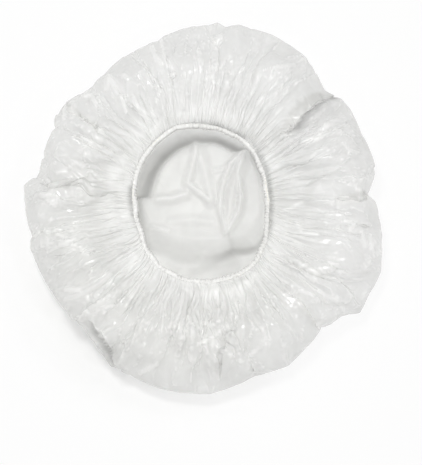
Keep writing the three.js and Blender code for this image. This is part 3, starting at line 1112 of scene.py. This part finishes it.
def add_creases(made):
    """Adds sharp creases that meet at corners, laid out on the flat film, and paints highlights on them and
    on the folds.
    """
    tree = made.node_tree
    place = attribute(tree, "cut_place", "Vector")
    cut = add_node(tree, "ShaderNodeVectorMath", {0: place}, operation="LENGTH").outputs["Value"]
    skirt = (RIM_CUT, RIM_CUT + CREASE_HIGHLIGHT_FADE_IN)
    on_skirt = map_range(tree, cut, skirt, (0, CREASE_PAINTED_HIGHLIGHT), "SMOOTHSTEP")
    white = attribute(tree, "painted_light")
    last = tree.nodes["Bump"]
    for scale, width, relief, left_out in FILM_CREASES:
        stray = noise(tree, place, scale * CREASE_STRAY_SCALE, output="Color")
        strayed = add_node(tree, "ShaderNodeVectorMath", {0: stray, 1: (1 / scale, 1 / scale, 0), 2: place},
                           operation="MULTIPLY_ADD")
        cells = add_node(tree, "ShaderNodeTexVoronoi", {"Vector": strayed.outputs["Vector"], "Scale": scale},
                         voronoi_dimensions="2D", feature="DISTANCE_TO_EDGE")
        line = map_range(tree, cells.outputs["Distance"], (0, width), (1, 0), "SMOOTHSTEP")
        patches = noise(tree, place, scale * CREASE_LEFT_OUT_SCALE)
        kept = map_range(tree, patches, (left_out, left_out + CREASE_LEFT_OUT_EDGE), (0, 1), "SMOOTHSTEP")
        ridge = math_node(tree, "MULTIPLY", line, kept)
        bump = add_node(tree, "ShaderNodeBump", {"Distance": relief, "Height": ridge})
        tree.links.new(bump.outputs["Normal"], last.inputs["Normal"])
        last = bump
        white = math_node(tree, "MAXIMUM", white, math_node(tree, "MULTIPLY", ridge, on_skirt))
    # Painted light: turns the colour towards white along the creases, ridges and folds.
    blend_colour(made, white, PAINTED_LIGHT_COLOUR)


def blend_colour(made, share, colour):
    """Turns the material's colour towards that one by the share."""
    inputs = {"Factor": share, "A": feeds(made, "Base Color"), "B": colour}
    mixed = add_node(made.node_tree, "ShaderNodeMix", inputs, data_type="RGBA")
    fill_shader(made, {"Base Color": mixed.outputs["Result"]})


def see_through(made, scattered, straight, where=None):
    """Lets light through: the share that is scattered and the share that goes straight on.

    Each is a pair, for single film and for gathered film, when where names the values that say which."""
    tree = made.node_tree

    def mix(share, one, other):
        if where:
            share = map_range(tree, attribute(tree, where), (0, 1), share)
        return mix_shaders(tree, share, one, other)

    scatter = add_node(tree, "ShaderNodeBsdfTranslucent", {"Color": feeds(made, "Base Color")})
    clear = add_node(tree, "ShaderNodeBsdfTransparent")
    milky = mix(scattered, tree.nodes["Principled BSDF"].outputs["BSDF"], scatter.outputs["BSDF"])
    thin = mix(straight, milky, clear.outputs["BSDF"])
    tree.links.new(thin, tree.nodes["Material Output"].inputs["Surface"])
    return made


def film_look():
    """Clear film: creased, with painted light on its folds and painted shade in its tucks, round the plateau,
    on the crown and on the gathers, dull in the shade, and milkier where gathered.
    """
    made = plastic("clear_film", (0.80, 0.80, 0.787), (0.97, 0.97, 0.96), clouds=34, gloss=(0.07, 0.18),
                   gloss_grain=60, relief_grain=260)
    add_creases(made)
    tree = made.node_tree
    # Painted shade: turns the colour dark in the tucks, in the gap round the plateau, on the crown in the
    # opening and on the gathers.
    blend_colour(made, attribute(tree, "painted_shade"), PAINTED_SHADE_COLOUR)
    rough = math_node(tree, "ADD", attribute(tree, "dull"), feeds(made, "Roughness"))
    fill_shader(made, {"Roughness": rough, "Specular IOR Level": FILM_SPECULAR, "IOR": FILM_IOR})
    return see_through(made, FILM_SCATTERED, FILM_STRAIGHT, "gathered")


def hem_look():
    made = plastic("hem_film", (0.80, 0.797, 0.782), (0.87, 0.867, 0.853), clouds=160, gloss=(0.25, 0.4),
                   gloss_grain=200, relief_grain=900)
    return see_through(made, HEM_SCATTERED, HEM_STRAIGHT)


def seal_look():
    return plastic("seal_film", (0.85, 0.85, 0.83), (0.92, 0.92, 0.9), clouds=200, gloss=(0.3, 0.5),
                   gloss_grain=200, relief_grain=900)


def elastic_look():
    return plastic("elastic", (0.80, 0.78, 0.72), (0.9, 0.89, 0.84), clouds=500, gloss=(0.6, 0.8),
                   gloss_grain=300, relief_grain=1500)


# Stage

FLOOR_COLOUR = (0.82, 0.82, 0.81, 1)
FLOOR_OWN_WHITE = 0.88
FLOOR_LIT_WITHIN = 0.060
FLOOR_WHITE_FROM = 0.145
FLOOR_SHADE_MIDDLE = (-0.028, -0.034, 0)
WORLD_LIGHT = 0.32
KEY_POWER = 6.2
KEY_SIZE = 0.14
KEY_PLACE = (-0.13, 0.15, 1.08)
# Small lamps that the film mirrors: the way round and up to each, in degrees, and its power.
GLINT_SIZE = 0.07
GLINT_DISTANCE = 1.2
GLINTS = [(150, 55, 0.75), (95, 62, 0.75), (30, 55, 0.95), (330, 60, 1.5), (250, 58, 1.0)]


def seen_share(tree):
    """1 for rays from the camera, from mirroring surfaces and through clear ones, else 0."""
    rays = add_node(tree, "ShaderNodeLightPath")
    share = rays.outputs["Is Camera Ray"]
    for name in ("Is Glossy Ray", "Is Transmission Ray"):
        share = math_node(tree, "MAXIMUM", share, rays.outputs[name])
    return share


def make_floor():
    """A white floor: the camera sees mostly its own white, but under the cap it is only lit."""
    floor = new_square("floor", 9)
    made = new_material("white_floor")
    fill_shader(made, {"Base Color": FLOOR_COLOUR, "Roughness": 0.9, "Specular IOR Level": 0.1})
    tree = made.node_tree
    place = add_node(tree, "ShaderNodeTexCoord").outputs["Object"]
    far = add_node(tree, "ShaderNodeVectorMath", {0: place, 1: FLOOR_SHADE_MIDDLE}, operation="DISTANCE")
    span = (FLOOR_LIT_WITHIN, FLOOR_WHITE_FROM)
    own = map_range(tree, far.outputs["Value"], span, (0, FLOOR_OWN_WHITE), "SMOOTHSTEP")
    share = math_node(tree, "MULTIPLY", seen_share(tree), own)
    white = add_node(tree, "ShaderNodeEmission").outputs["Emission"]
    mixed = mix_shaders(tree, share, tree.nodes["Principled BSDF"].outputs["BSDF"], white)
    tree.links.new(mixed, tree.nodes["Material Output"].inputs["Surface"])
    floor.data.materials.append(made)


def add_lamp(name, power, size, place):
    lamp = bpy.data.lights.new(name, "AREA")
    lamp.energy = power
    lamp.shape = "RECTANGLE"
    lamp.size, lamp.size_y = size
    obj = bpy.data.objects.new(name, lamp)
    obj.location = place
    obj.rotation_euler = Vector(place).to_track_quat("Z", "Y").to_euler()
    bpy.context.scene.collection.objects.link(obj)
    return obj


def light_scene():
    world = bpy.data.worlds.new("studio")
    world.use_nodes = True
    tree = world.node_tree
    sky = tree.nodes["Background"]
    sky.inputs["Color"].default_value = (1, 1, 1, 1)
    level = map_range(tree, seen_share(tree), (0, 1), (WORLD_LIGHT, 1))
    tree.links.new(level, sky.inputs["Strength"])
    bpy.context.scene.world = world
    add_lamp("key", KEY_POWER, (KEY_SIZE, KEY_SIZE), KEY_PLACE)
    for turn, rise, power in GLINTS:
        turn, rise = math.radians(turn), math.radians(rise)
        way = np.append(math.cos(rise) * heading(turn), math.sin(rise))
        add_lamp("glint", power, (GLINT_SIZE, GLINT_SIZE), way * GLINT_DISTANCE)
    bpy.context.scene.view_settings.view_transform = "Standard"


def add_camera():
    data = bpy.data.cameras.new("photo_camera")
    data.sensor_width = SENSOR_WIDTH
    data.lens = SENSOR_WIDTH * CAMERA_DISTANCE / (IMAGE_HEIGHT * PIXEL)
    camera = bpy.data.objects.new("photo_camera", data)
    camera.location = EYE
    camera.rotation_euler = Vector(BACK).to_track_quat("Z", "Y").to_euler()
    bpy.context.scene.collection.objects.link(camera)
    bpy.context.scene.camera = camera


add_camera()
light_scene()
make_floor()

film = make_film()
casing = make_casing()
seal = make_seal()
elastic = make_elastic()
film.data.materials.append(film_look())
casing.data.materials.append(hem_look())
seal.data.materials.append(seal_look())
elastic.data.materials.append(elastic_look())

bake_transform(film)
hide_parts("cap_film")
for piece, node, slot in ((casing, "hem_casing", "hem_film"), (seal, "hem_seal", "hem_film"),
                          (elastic, "elastic_band", "elastic")):
    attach(piece, "hem")
    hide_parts(node)
